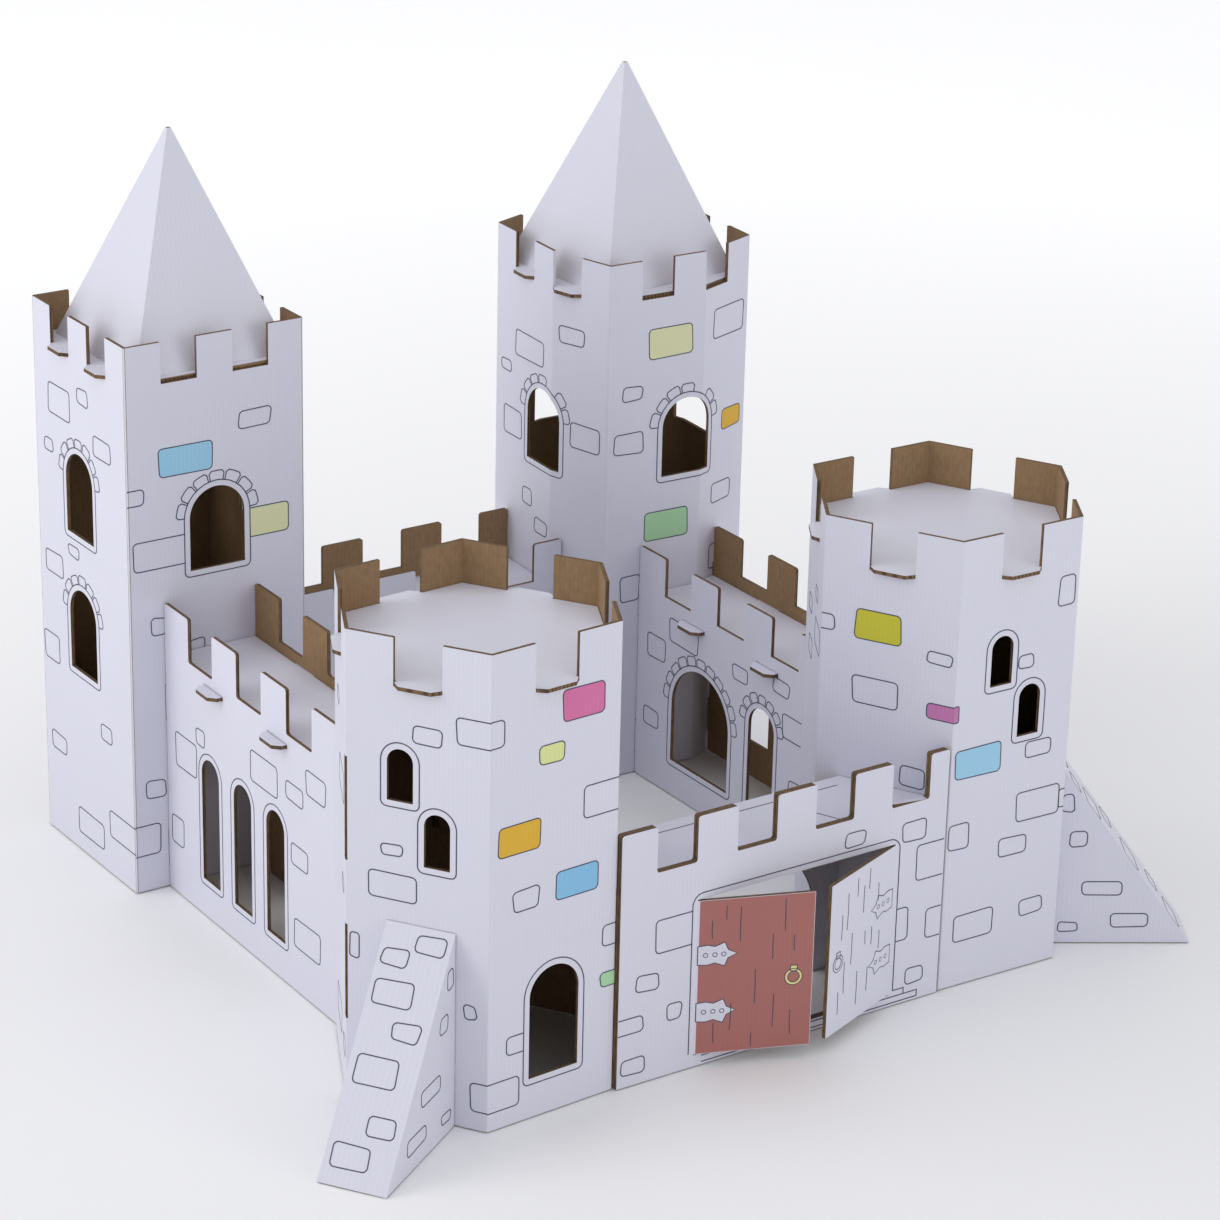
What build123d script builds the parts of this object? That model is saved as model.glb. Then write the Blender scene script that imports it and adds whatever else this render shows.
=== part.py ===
from build123d import *
import os
from math import cos, hypot, radians, sin

# A play castle of fine-flute corrugated card: four folded towers joined by four wings.
# X runs along the gate wall, Y towards the back, Z up. The origin is on the ground, midway
# between the two front towers, midway through the gate wall's thickness. Sizes are in millimetres.

# ---- board and fits ----
board = 1.6  # one ply of fine-flute corrugated card
slip = 0.3  # clearance each side of a tab in its slot, and between two pieces that stand together
fold_radius = 0.8  # outside rounding of a folded corner
die_radius = 1.2  # rounding of a die-cut corner
tab_grip = 3.0  # how far a tab reaches past the piece that it goes through
tab_chamfer = 3.0

# ---- square back towers ----
square_side = 84.0
square_height = 246.0
square_crenel = 18.0
square_centre_x = 116.0
square_centre_y = 292.4
crease_share = 0.6  # the right tower bows out along a crease at this share of each face
bow_headings = (-2.0, 20.0, 87.0, 105.0)  # plan headings of its bowed half-faces, in degrees
square_window_centre = 42.0
square_window_width = 26.0
square_window_sill = 143.0
square_window_top = 179.0
side_window_centre = 40.0
side_window_width = 24.5
side_windows = ((149.0, 186.5), (86.0, 124.5))  # sill and top of each

# ---- hexagonal front towers ----
hex_side = 60.0
hex_height = 198.0
hex_crenel = 19.5
hex_centre_x = 113.0
left_hex_turn = 3.5
right_hex_turn = -1.5
slit_width = 10.8
slit_windows = ((22.8, 132.0, 153.5), (38.2, 107.0, 129.5))  # centre, sill and top of each
porch_centre = 31.0
porch_width = 23.3
porch_top = 63.0
seam_notches = ((0.0, 9.0), (36.0, 76.5), (103.5, 146.5))  # where the left tower's seam is open

# ---- wings ----
sill = 17.0  # every ground-floor opening starts at this height
merlon = 19.5  # height of a wing's merlons
merlon_count = 4  # on each wall of a side wing, its crenels as wide as its merlons
wing_outer_x = 142.0
wing_outer_splay = 2.5
wing_inner_x = 97.0
wing_inner_splay = 2.0
back_outer_y = 318.0
back_inner_y = 270.4
low_wing_height = 112.0
left_wing_height = 131.5
deck_drop = 4.5  # from the bottom of a crenel to the top of the walkway
walk_tab_width = 16.0
walk_tab_reach = 5.5
walk_tab_centres = (43.5, 99.0)  # from the back tower
walk_tab_spread = 28.0  # each side of the middle of the back wing
end_tab_height = 16.0
end_tab_bottoms = (10.0, 78.0)
tall_window_width = 15.4
tall_window_top = 74.0
tall_window_centres = (39.5, 68.0, 96.5)  # from the back tower
arch_top = 67.0
arches = ((50.0, 44.0), (96.5, 19.0))  # centre from the back tower and width of each
back_arch_width = 44.0
back_first_merlon = 25.4  # next to the left tower
back_pitch = 20.9  # every other merlon and crenel of the back wing
back_crenels = 3
window_punch = 12.0  # how far each side of a tower's face its openings are cut

# ---- gate wall ----
gate_height = 109.5
gate_first_merlon = 16.6  # next to the left tower
gate_pitch = 19.0
gate_crenels = 4
gate_centre_x = 6.0
gate_width = 97.0
gate_bottom = 5.0
gate_top = 73.5
door_angle = 21.0
door_edge_gap = 0.5
glue_flap = 22.0
gate_deck_depth = 42.0
gate_deck_top = 86.0
gate_tab_inset = 16.5  # from each end of the gate wall to the middle of a tab of its deck
gate_tab_width = 14.0
passage_width = 84.0
passage_top = 66.0

# ---- roofs ----
roof_half_width = 36.5
roof_apex = 323.0
roof_tip = 0.9  # half width of the blunt tip
roof_tab_width = 24.0
roof_tab_reach = 2.5
roof_tab_root = 0.4  # how far a foot tab runs up inside the roof's skin
left_roof_shift = 2.5
right_roof_shift = -1.5
right_roof_turn = 5.0

# ---- buttresses ----
buttress_width = 28.8
buttress_height = 82.0
buttress_depth = 60.0
buttress_offset = 17.5  # from the outer corner of its tower's face
buttress_tab_width = 7.0
buttress_tab_inset = 6.0  # from a side of the buttress to a tab's centre
buttress_tab_root = 0.4
buttress_tab_lift = 0.2  # from the underside of the slope up to the tabs

os.makedirs("parts", exist_ok=True)


# ---- plan geometry ----
def heading(angle):
    """The horizontal unit vector at an angle in degrees from +X."""
    return Vector(cos(radians(angle)), sin(radians(angle)), 0)


def outward(direction):
    """The horizontal normal on the right hand of a direction of travel."""
    return Vector(direction.Y, -direction.X, 0)


def spot(face, along, out=0.0):
    """The plan point a distance along a face from its start, and out from it."""
    start, end = face
    run = (end - start).normalized()
    return start + run * along + outward(run) * out


def face_plane(face):
    """The vertical plane on a face: x along it, y up, normal outwards."""
    start, end = face
    run = (end - start).normalized()
    return Plane(origin=start, x_dir=run, z_dir=outward(run))


def faces_of(corners):
    """Each side of a closed outline whose corners run anticlockwise."""
    return list(zip(corners, corners[1:] + corners[:1]))


def crossing(point, run, face):
    """The distance from a point, along a direction, to the line of a face."""
    start, end = face
    normal = outward((end - start).normalized())
    return (start - point).dot(normal) / run.dot(normal)


def between(face, start_face, end_face, thickness=board, gap=slip):
    """A wall's face trimmed to stand between two tower faces, its whole thickness clear of both."""
    start, end = face
    run = (end - start).normalized()
    back = start - outward(run) * thickness
    first = max(crossing(start, run, start_face), crossing(back, run, start_face))
    last = min(crossing(start, run, end_face), crossing(back, run, end_face))
    return (start + run * (first + gap), start + run * (last - gap))


def length_of(face):
    return (face[1] - face[0]).length


def grown(corners, amount):
    """A convex outline with every side moved out by the same amount."""
    moved = []
    faces = faces_of(corners)
    for (before, corner), (_, after) in zip(faces[-1:] + faces[:-1], faces):
        first = outward((corner - before).normalized())
        second = outward((after - corner).normalized())
        moved.append(corner + (first + second) * (amount / (1 + first.dot(second))))
    return moved


# ---- plan outlines ----
def square_corners(centre):
    half = square_side / 2
    return [centre + Vector(x * half, y * half, 0) for x, y in ((-1, -1), (1, -1), (1, 1), (-1, 1))]


def bowed_corners(centre):
    """The square sleeve bowed along its extra creases: opposite sides stay parallel."""
    shares = (crease_share, 1 - crease_share) * 2
    steps = [heading(angle) * (share * square_side) for angle, share in zip(bow_headings, shares)]
    corners = [Vector(0, 0, 0)]
    for step in steps + [step * -1 for step in steps[:-1]]:
        corners.append(corners[-1] + step)
    middle = (corners[0] + corners[4]) / 2
    return [corner - middle + centre for corner in corners]


def hex_corners(centre, turn):
    """Corners from the far left one, anticlockwise; the second side faces the front."""
    return [centre + heading(180 + turn + 60 * index) * hex_side for index in range(6)]


hex_centre_y = hex_side * sin(radians(60)) - board
left_square = square_corners(Vector(-square_centre_x, square_centre_y, 0))
right_square = bowed_corners(Vector(square_centre_x, square_centre_y, 0))
left_hex = hex_corners(Vector(-hex_centre_x, hex_centre_y, 0), left_hex_turn)
right_hex = hex_corners(Vector(hex_centre_x, hex_centre_y, 0), right_hex_turn)

left_square_faces = faces_of(left_square)
right_square_faces = faces_of(right_square)
left_hex_faces = faces_of(left_hex)
right_hex_faces = faces_of(right_hex)
LEFT_FRONT, FRONT, RIGHT_FRONT, RIGHT_BACK, BACK, LEFT_BACK = range(6)

hex_back_y = 2 * hex_centre_y + board
square_front_y = square_centre_y - square_side / 2
left_side_x = square_side / 2 - square_centre_x
right_side_x = square_centre_x - square_side / 2

# Each wall's printed face, as it runs between two towers with the print on its right hand.
walls = {
    "left_outer": between(
        (Vector(-wing_outer_x, square_front_y, 0), Vector(-wing_outer_x - wing_outer_splay, hex_back_y, 0)),
        left_square_faces[0],
        left_hex_faces[BACK],
    ),
    "left_inner": between(
        (Vector(-wing_inner_x - wing_inner_splay, hex_back_y, 0), Vector(-wing_inner_x, square_front_y, 0)),
        left_hex_faces[BACK],
        left_square_faces[0],
    ),
    "right_outer": between(
        (Vector(wing_outer_x, hex_back_y, 0), Vector(wing_outer_x, square_front_y, 0)),
        right_hex_faces[BACK],
        right_square_faces[1],
    ),
    "right_inner": between(
        (Vector(wing_inner_x, square_front_y, 0), Vector(wing_inner_x, hex_back_y, 0)),
        right_square_faces[0],
        right_hex_faces[BACK],
    ),
    "back_outer": between(
        (Vector(right_side_x, back_outer_y, 0), Vector(left_side_x, back_outer_y, 0)),
        right_square_faces[6],
        left_square_faces[1],
    ),
    "back_inner": between(
        (Vector(left_side_x, back_inner_y, 0), Vector(right_side_x, back_inner_y, 0)),
        left_square_faces[1],
        right_square_faces[7],
    ),
    "gate": between(
        (Vector(-hex_centre_x, -board, 0), Vector(hex_centre_x, -board, 0)),
        left_hex_faces[RIGHT_FRONT],
        right_hex_faces[LEFT_FRONT],
        thickness=2 * board,
    ),
}


# ---- levels and spacings that follow ----
square_crenel_floor = square_height - square_crenel
hex_crenel_floor = hex_height - hex_crenel
roof_foot = square_crenel_floor + board
roof_rise = roof_apex - roof_foot
roof_slope = (roof_half_width - roof_tip) / roof_rise
roof_skin = board * hypot(1, roof_slope)  # measured level
roof_tab_radius = roof_half_width - roof_skin / 2 - slip / 2
end_tab_reach = slip + board + tab_grip
low_deck_top = low_wing_height - merlon - deck_drop
left_deck_top = left_wing_height - merlon - deck_drop
buttress_share = 1 - board * hypot(buttress_depth, buttress_height) / (buttress_depth * buttress_height)
buttress_tab_low = buttress_height * buttress_share + buttress_tab_lift
left_buttress_start = buttress_offset
right_buttress_start = hex_side - buttress_offset - buttress_width
left_roof_centre = (left_roof_shift - square_centre_x, square_centre_y)
right_roof_centre = (square_centre_x + right_roof_shift, square_centre_y)


def stepped_gaps(first, pitch, gaps):
    """The start and end of each crenel when merlons and crenels are one pitch wide."""
    return [(first + 2 * index * pitch, first + (2 * index + 1) * pitch) for index in range(gaps)]


def even_gaps(face):
    """Crenels along a face when all its merlons and crenels are equally wide."""
    pitch = length_of(face) / (2 * merlon_count - 1)
    return stepped_gaps(pitch, pitch, merlon_count - 1)


def from_far_end(face, distances):
    """Distances along a face, measured again from its other end."""
    return [length_of(face) - distance for distance in distances]


# ---- shapes drawn in the current sketch ----
def draw_box(first, last, bottom, top, mode=Mode.SUBTRACT):
    with Locations(((first + last) / 2, (bottom + top) / 2)):
        Rectangle(last - first, top - bottom, mode=mode)


def draw_arch(centre, width, bottom, top, mode=Mode.SUBTRACT):
    """A round-headed opening."""
    radius = width / 2
    draw_box(centre - radius, centre + radius, bottom, top - radius, mode)
    with Locations((centre, top - radius)):
        Circle(radius, mode=mode)


def draw_outline(points, mode=Mode.ADD):
    Polygon(*[(point.X, point.Y) for point in points], align=None, mode=mode)


def draw_tab(face, first, last, reach, root):
    """A tab seen in plan, its outer corners cut off."""
    chamfer = min(tab_chamfer, reach)
    draw_outline(
        [
            spot(face, first, -root),
            spot(face, first, reach - chamfer),
            spot(face, first + chamfer, reach),
            spot(face, last - chamfer, reach),
            spot(face, last, reach - chamfer),
            spot(face, last, -root),
        ]
    )


# ---- towers ----
def tower(corners, height, crenel, crenels, openings, slots, wing_ends, notches):
    """A folded sleeve with crenels, openings, tab slots, slots for its wings and an open seam."""
    with BuildPart() as sleeve:
        with BuildSketch() as section:
            draw_outline(corners)
            offset(amount=-board, kind=Kind.INTERSECTION, mode=Mode.SUBTRACT)
            fillet(section.face().outer_wire().vertices(), fold_radius)
        extrude(amount=height)
        for face, spans in crenels:
            with BuildSketch(face_plane(face)):
                for first, last in spans:
                    draw_box(first, last, height - crenel, height + board, Mode.ADD)
        extrude(amount=window_punch / 2, both=True, mode=Mode.SUBTRACT)
        for face, arches_here in openings:
            with BuildSketch(face_plane(face)):
                for centre, width, bottom, top in arches_here:
                    draw_arch(centre, width, bottom, top, Mode.ADD)
        extrude(amount=window_punch, both=True, mode=Mode.SUBTRACT)
        for face, boxes in slots:
            with BuildSketch(face_plane(face)):
                for first, last, bottom, top in boxes:
                    draw_box(first, last, bottom, top, Mode.ADD)
        if slots:
            extrude(amount=2 * board, both=True, mode=Mode.SUBTRACT)
        for face, first, last in wing_ends:
            with BuildSketch(face_plane(face).offset(slip)):
                for bottom in end_tab_bottoms:
                    draw_box(first, last, bottom - slip, bottom + end_tab_height + slip, Mode.ADD)
        extrude(amount=-board - 2 * slip, mode=Mode.SUBTRACT)
        for face, bottom, top in notches:
            with BuildSketch(face_plane(face)):
                draw_box(hex_side - 2 * board, hex_side + board, bottom, top, Mode.ADD)
        if notches:
            extrude(amount=board / 2, both=True, mode=Mode.SUBTRACT)
    return sleeve.part


def start_of(name):
    """The stretch of a wall's line that its tabs need at the wall's start."""
    return (walls[name], -end_tab_reach - slip, 0)


def end_of(name):
    length = length_of(walls[name])
    return (walls[name], length, length + end_tab_reach + slip)


def hook_slots(start):
    """The two slots in a tower's face for the tabs of a buttress."""
    centres = (start + buttress_tab_inset, start + buttress_width - buttress_tab_inset)
    half = buttress_tab_width / 2 + slip
    return [
        (centre - half, centre + half, buttress_tab_low - slip, buttress_tab_low + board + slip)
        for centre in centres
    ]


fifth = square_side / 5
third = hex_side / 3
square_crenels = [(face, [(fifth, 2 * fifth), (3 * fifth, 4 * fifth)]) for face in left_square_faces]
bowed_crenels = [(face, [(fifth, 2 * fifth)]) for face in right_square_faces[0::2]]
bowed_crenels += [(face, [(0, fifth)]) for face in right_square_faces[1::2]]
left_hex_crenels = [(face, [(third, 2 * third)]) for face in left_hex_faces]
right_hex_crenels = [(face, [(third, 2 * third)]) for face in right_hex_faces]

square_window = [(square_window_centre, square_window_width, square_window_sill, square_window_top)]
side_pair = [(side_window_centre, side_window_width, low, high) for low, high in side_windows]
slit_pair = [(centre, slit_width, low, high) for centre, low, high in slit_windows]
porch = [(porch_centre, porch_width, sill, porch_top)]
bowed_chords = [(right_square[index], right_square[(index + 2) % 8]) for index in (0, 2, 4, 6)]

tower_back_left = tower(
    left_square,
    square_height,
    square_crenel,
    square_crenels,
    [(face, square_window) for face in left_square_faces[:3]] + [(left_square_faces[3], side_pair)],
    [],
    [start_of("left_outer"), end_of("left_inner"), end_of("back_outer"), start_of("back_inner")],
    [],
)
tower_back_right = tower(
    right_square,
    square_height,
    square_crenel,
    bowed_crenels,
    [(chord, square_window) for chord in bowed_chords],
    [],
    [end_of("right_outer"), start_of("right_inner"), start_of("back_outer"), end_of("back_inner")],
    [],
)
tower_front_left = tower(
    left_hex,
    hex_height,
    hex_crenel,
    left_hex_crenels,
    [(left_hex_faces[LEFT_FRONT], slit_pair), (left_hex_faces[FRONT], porch)],
    [(left_hex_faces[LEFT_FRONT], hook_slots(left_buttress_start))],
    [end_of("left_outer"), start_of("left_inner")],
    [(left_hex_faces[LEFT_BACK], low, high) for low, high in seam_notches],
)
tower_front_right = tower(
    right_hex,
    hex_height,
    hex_crenel,
    right_hex_crenels,
    [(right_hex_faces[FRONT], slit_pair)],
    [(right_hex_faces[RIGHT_FRONT], hook_slots(right_buttress_start))],
    [start_of("right_outer"), end_of("right_inner")],
    [],
)


# ---- plates that rest on the crenels, and the roofs ----
def crenel_plate(corners, crenels, level, roof_centre=None, roof_turn=0):
    """A plate inside a sleeve, tabbed out through its crenels, slotted for a roof's feet."""
    with BuildPart() as plate:
        with BuildSketch(Plane.XY.offset(level)):
            draw_outline(corners)
            offset(amount=-board - slip, kind=Kind.INTERSECTION)
            for face, spans in crenels:
                for first, last in spans:
                    draw_tab(face, first + slip, last - slip, tab_grip, 2 * board)
            if roof_centre:
                with Locations(roof_centre):
                    with PolarLocations(roof_tab_radius, 4, start_angle=roof_turn):
                        Rectangle(board + 2 * slip, roof_tab_width + 2 * slip, mode=Mode.SUBTRACT)
        extrude(amount=board)
    return plate.part


def roof(centre, turn):
    """A four-sided pyramid folded from one sheet, with a tab under each side."""
    foot = Plane(origin=(centre[0], centre[1], roof_foot), x_dir=heading(turn), z_dir=(0, 0, 1))
    inner_half = roof_half_width - roof_skin
    inner_rise = (inner_half - roof_tip) / roof_slope
    with BuildPart() as pyramid:
        with BuildSketch(foot):
            Rectangle(2 * roof_half_width, 2 * roof_half_width)
        with BuildSketch(foot.offset(roof_rise)):
            Rectangle(2 * roof_tip, 2 * roof_tip)
        loft(ruled=True)
        with BuildSketch(foot):
            Rectangle(2 * inner_half, 2 * inner_half)
        with BuildSketch(foot.offset(inner_rise)):
            Rectangle(2 * roof_tip, 2 * roof_tip)
        loft(ruled=True, mode=Mode.SUBTRACT)
        with BuildSketch(foot.offset(roof_tab_root)):
            with PolarLocations(roof_tab_radius, 4):
                Rectangle(board, roof_tab_width)
        extrude(amount=-roof_tab_root - board - roof_tab_reach)
    return pyramid.part


deck_front_left = crenel_plate(left_hex, left_hex_crenels, hex_crenel_floor)
deck_front_right = crenel_plate(right_hex, right_hex_crenels, hex_crenel_floor)
roof_base_back_left = crenel_plate(left_square, square_crenels[1::2], square_crenel_floor, left_roof_centre)
crenelled_sides = right_square_faces[2:4] + right_square_faces[6:]
side_crenels = [(face, spans) for face, spans in bowed_crenels if face in crenelled_sides]
roof_base_back_right = crenel_plate(
    right_square, side_crenels, square_crenel_floor, right_roof_centre, right_roof_turn
)
roof_back_left = roof(left_roof_centre, 0)
roof_back_right = roof(right_roof_centre, right_roof_turn)


# ---- wings ----
def wing_wall(name, height, gaps, tab_centres, openings):
    """A battlemented sheet with end tabs, round-headed openings and slots for a walkway's tabs."""
    face = walls[name]
    length = length_of(face)
    deck_top = height - merlon - deck_drop
    half_slot = walk_tab_width / 2 + slip
    with BuildPart() as wall:
        with BuildSketch(face_plane(face)) as sheet:
            draw_box(0, length, 0, height, Mode.ADD)
            for first, last in gaps:
                draw_box(first, last, height - merlon, height + board)
            high = sheet.vertices().filter_by_position(Axis.Y, height - merlon - slip, height + slip)
            fillet(high, die_radius)
            for bottom in end_tab_bottoms:
                draw_box(-end_tab_reach, length + end_tab_reach, bottom, bottom + end_tab_height, Mode.ADD)
            for centre, width, top in openings:
                draw_arch(centre, width, sill, top)
            for centre in tab_centres:
                draw_box(centre - half_slot, centre + half_slot, deck_top - board - slip, deck_top + slip)
        extrude(amount=-board)
    return wall.part


def walkway(outer, inner, top, outer_tabs, inner_tabs, towers):
    """A level deck between two walls, with tabs through both, trimmed clear of the towers."""
    inset = board + slip
    with BuildPart() as deck:
        with BuildSketch(Plane.XY.offset(top - board)):
            draw_outline(
                [
                    spot(walls[outer], 0, -inset),
                    spot(walls[outer], length_of(walls[outer]), -inset),
                    spot(walls[inner], 0, -inset),
                    spot(walls[inner], length_of(walls[inner]), -inset),
                ]
            )
            for corners in towers:
                draw_outline(grown(corners, slip), Mode.SUBTRACT)
            for name, centres in ((outer, outer_tabs), (inner, inner_tabs)):
                for centre in centres:
                    first = centre - walk_tab_width / 2
                    draw_tab(walls[name], first, first + walk_tab_width, walk_tab_reach, 2 * board)
        extrude(amount=board)
    return deck.part


tall_windows = [(centre, tall_window_width, tall_window_top) for centre in tall_window_centres]
arcade = [(centre, width, arch_top) for centre, width in arches]
far_windows = [
    (length_of(walls["right_outer"]) - centre, width, top) for centre, width, top in tall_windows
]
far_arcade = [(length_of(walls["left_inner"]) - centre, width, top) for centre, width, top in arcade]
far_left_tabs = from_far_end(walls["left_inner"], walk_tab_centres)
far_right_tabs = from_far_end(walls["right_outer"], walk_tab_centres)
back_gaps = stepped_gaps(back_first_merlon, back_pitch, back_crenels)
back_middle = length_of(walls["back_inner"]) / 2
back_tabs = [back_middle - walk_tab_spread, back_middle + walk_tab_spread]
far_back_gaps = [
    tuple(reversed(from_far_end(walls["back_outer"], gap))) for gap in back_gaps
]
far_back_tabs = from_far_end(walls["back_outer"], back_tabs)

wall_left_outer = wing_wall(
    "left_outer", left_wing_height, even_gaps(walls["left_outer"]), walk_tab_centres, tall_windows
)
wall_left_inner = wing_wall(
    "left_inner", left_wing_height, even_gaps(walls["left_inner"]), far_left_tabs, far_arcade
)
wall_right_outer = wing_wall(
    "right_outer", low_wing_height, even_gaps(walls["right_outer"]), far_right_tabs, far_windows
)
wall_right_inner = wing_wall(
    "right_inner", low_wing_height, even_gaps(walls["right_inner"]), walk_tab_centres, arcade
)
wall_back_outer = wing_wall("back_outer", low_wing_height, far_back_gaps, far_back_tabs, [])
wall_back_inner = wing_wall(
    "back_inner", low_wing_height, back_gaps, back_tabs, [(back_middle, back_arch_width, arch_top)]
)
walkway_left = walkway(
    "left_outer", "left_inner", left_deck_top, walk_tab_centres, far_left_tabs, [left_square, left_hex]
)
walkway_right = walkway(
    "right_outer", "right_inner", low_deck_top, far_right_tabs, walk_tab_centres, [right_square, right_hex]
)
walkway_back = walkway(
    "back_outer", "back_inner", low_deck_top, far_back_tabs, back_tabs, [left_square, right_square]
)

# ---- gate wall: a doubled sheet with its two doors folded out and its ends folded back ----
gate_length = length_of(walls["gate"])
gate_start_x = walls["gate"][0].X
gate_tab_centres = (gate_start_x + gate_tab_inset, gate_start_x + gate_length - gate_tab_inset)
gate_left = gate_centre_x - gate_width / 2
gate_right = gate_centre_x + gate_width / 2
gate_gaps = stepped_gaps(gate_first_merlon, gate_pitch, gate_crenels)
door_length = gate_width / 2 - door_edge_gap
flap_top = gate_deck_top - board - slip

with BuildPart() as gate:
    with BuildSketch(face_plane(walls["gate"])) as gate_sheet:
        draw_box(0, gate_length, 0, gate_height, Mode.ADD)
        for first, last in gate_gaps:
            draw_box(first, last, gate_height - merlon, gate_height + board)
        fillet(
            gate_sheet.vertices().filter_by_position(Axis.Y, gate_height - merlon - slip, gate_height + slip),
            die_radius,
        )
        draw_box(gate_left - gate_start_x, gate_right - gate_start_x, gate_bottom, gate_top)
    extrude(amount=-2 * board)
    for hinge_x, turn in ((gate_left, -door_angle), (gate_right, 180 + door_angle)):
        hinge = (hinge_x, -board / 2, gate_bottom + door_edge_gap)
        with BuildSketch(Plane(origin=hinge, x_dir=heading(turn), z_dir=(0, 0, 1))):
            with Locations(((door_length - board / 2) / 2, 0)):
                Rectangle(door_length + board / 2, board)
    extrude(amount=gate_top - gate_bottom - 2 * door_edge_gap)
    with BuildSketch():
        for face, first, last in (
            (left_hex_faces[RIGHT_FRONT], board / 2, glue_flap),
            (right_hex_faces[LEFT_FRONT], hex_side - glue_flap, hex_side - board / 2),
        ):
            draw_outline(
                [
                    spot(face, first, slip),
                    spot(face, first, slip + board),
                    spot(face, last, slip + board),
                    spot(face, last, slip),
                ]
            )
    extrude(amount=flap_top)
    with BuildSketch(Plane.XY.offset(gate_deck_top - board - slip)):
        for centre in gate_tab_centres:
            half_slot = gate_tab_width / 2 + slip
            draw_box(centre - half_slot, centre + half_slot, 0, 2 * board, Mode.ADD)
    extrude(amount=board + 2 * slip, mode=Mode.SUBTRACT)
wall_gate = gate.part

# ---- gate walkway: a deck behind the gate wall, its back edge folded down to the ground ----
with BuildPart() as porch_sheet:
    with BuildSketch(Plane.XY.offset(gate_deck_top - board)):
        draw_box(-hex_centre_x, hex_centre_x, board + slip, gate_deck_depth, Mode.ADD)
        for corners in (left_hex, right_hex):
            draw_outline(grown(corners, slip), Mode.SUBTRACT)
        for centre in gate_tab_centres:
            draw_box(centre - gate_tab_width / 2, centre + gate_tab_width / 2, slip, 3 * board, Mode.ADD)
    extrude(amount=board)
    with BuildSketch():
        draw_box(-hex_centre_x, hex_centre_x, gate_deck_depth - board, gate_deck_depth, Mode.ADD)
        for corners in (left_hex, right_hex):
            draw_outline(grown(corners, slip), Mode.SUBTRACT)
    extrude(amount=gate_deck_top)
    with BuildSketch(Plane(origin=(0, gate_deck_depth, 0), x_dir=(1, 0, 0), z_dir=(0, -1, 0))):
        draw_arch(gate_centre_x, passage_width, -board, passage_top, Mode.ADD)
    extrude(amount=board, mode=Mode.SUBTRACT)
walkway_gate = porch_sheet.part


# ---- buttresses ----
def buttress(face, start):
    """A sloping sheet folded down to two triangular sides, hooked to a tower by two tabs."""
    run = (face[1] - face[0]).normalized()
    side = Plane(origin=spot(face, start + buttress_width, slip), x_dir=outward(run), z_dir=run * -1)
    inner_depth = buttress_depth * buttress_share
    inner_height = buttress_height * buttress_share
    half_tab = buttress_tab_width / 2
    with BuildPart() as wedge:
        with BuildSketch(side):
            Polygon((0, 0), (buttress_depth, 0), (0, buttress_height), align=None)
        extrude(amount=buttress_width)
        with BuildSketch(side.offset(board)):
            Polygon((0, 0), (inner_depth, 0), (0, inner_height), align=None)
        extrude(amount=buttress_width - 2 * board, mode=Mode.SUBTRACT)
        with BuildSketch(Plane.XY.offset(buttress_tab_low)):
            for inset in (buttress_tab_inset, buttress_width - buttress_tab_inset):
                centre = start + inset
                draw_outline(
                    [
                        spot(face, centre - half_tab, slip + buttress_tab_root),
                        spot(face, centre + half_tab, slip + buttress_tab_root),
                        spot(face, centre + half_tab, -board - tab_grip),
                        spot(face, centre - half_tab, -board - tab_grip),
                    ]
                )
        extrude(amount=board)
    return wedge.part


buttress_left = buttress(left_hex_faces[LEFT_FRONT], left_buttress_start)
buttress_right = buttress(right_hex_faces[RIGHT_FRONT], right_buttress_start)

# ---- one file for each sheet of card ----
nodes = {
    "tower_back_left": tower_back_left,
    "tower_back_right": tower_back_right,
    "tower_front_left": tower_front_left,
    "tower_front_right": tower_front_right,
    "deck_front_left": deck_front_left,
    "deck_front_right": deck_front_right,
    "roof_base_back_left": roof_base_back_left,
    "roof_base_back_right": roof_base_back_right,
    "roof_back_left": roof_back_left,
    "roof_back_right": roof_back_right,
    "wall_left_outer": wall_left_outer,
    "wall_left_inner": wall_left_inner,
    "wall_right_outer": wall_right_outer,
    "wall_right_inner": wall_right_inner,
    "wall_back_outer": wall_back_outer,
    "wall_back_inner": wall_back_inner,
    "walkway_left": walkway_left,
    "walkway_right": walkway_right,
    "walkway_back": walkway_back,
    "wall_gate": wall_gate,
    "walkway_gate": walkway_gate,
    "buttress_left": buttress_left,
    "buttress_right": buttress_right,
}
for name, sheet_of_card in nodes.items():
    sheet_of_card.label = name
    export_step(sheet_of_card, "parts/" + name + ".step")
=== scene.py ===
import math
import random

import bpy
from mathutils import Matrix, Vector
from mathutils.bvhtree import BVHTree


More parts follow.
